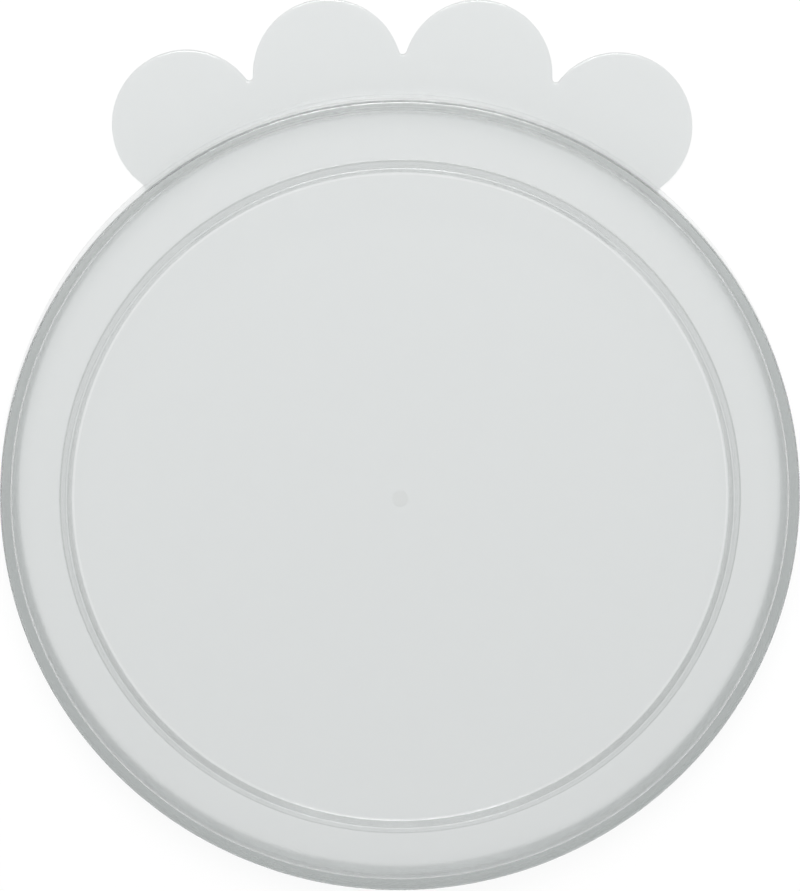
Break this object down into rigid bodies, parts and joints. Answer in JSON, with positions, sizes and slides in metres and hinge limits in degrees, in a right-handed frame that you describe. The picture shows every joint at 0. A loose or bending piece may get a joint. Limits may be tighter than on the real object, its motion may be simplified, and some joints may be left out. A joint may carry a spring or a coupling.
{
  "type": "can lid",
  "caption": "Round press-on lid for an opened food can: a flat plate with a raised stacking ring, a skirt with a gripping bead inside, and a flat pull tab of round lobes.",
  "frame": {"origin": "on the lid's axis, in the plane of the skirt's free edge", "axes": "+Z along the lid's axis, from the free edge to the plate; +Y towards the pull tab"},
  "size_m": [0.1062, 0.1187, 0.0098],
  "materials": {
    "lid": "frosted, translucent"
  },
  "bodies": {
    "root": {"lid": "lid"}
  },
  "joints": []
}
